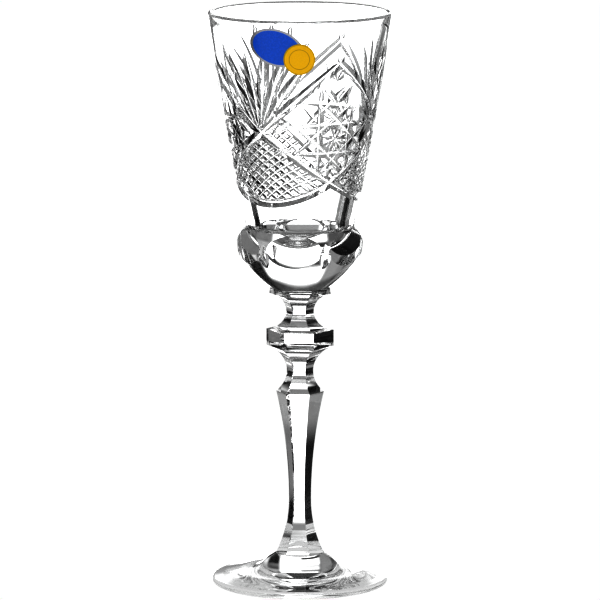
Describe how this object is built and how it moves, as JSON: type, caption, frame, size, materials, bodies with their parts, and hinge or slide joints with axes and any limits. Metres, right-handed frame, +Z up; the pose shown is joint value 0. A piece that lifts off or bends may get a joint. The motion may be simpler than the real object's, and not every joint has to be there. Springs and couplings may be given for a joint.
{
  "type": "sherry glass",
  "caption": "Stemmed sherry glass in cut lead crystal: conical bowl with fans, stars and hobnail, six-sided stem with a knop, round foot, plain labels below the rim.",
  "frame": {"origin": "middle of the foot's underside, on the plane that the glass stands on", "axes": "+Z up the axis of the glass, -Y out of the side that carries the labels, +X to the right seen from that side"},
  "size_m": [0.0598, 0.0598, 0.188],
  "materials": {
    "foot_glass": "polished",
    "stem_glass": "cut and polished",
    "bowl_glass": "cut and polished",
    "blue_foil": "gloss with a pale metallic border",
    "gold_foil": "metallic foil"
  },
  "bodies": {
    "root": {"foot": "foot_glass", "stem": "stem_glass", "bowl": "bowl_glass", "oval_label": "blue_foil", "round_label": "gold_foil"}
  },
  "joints": []
}
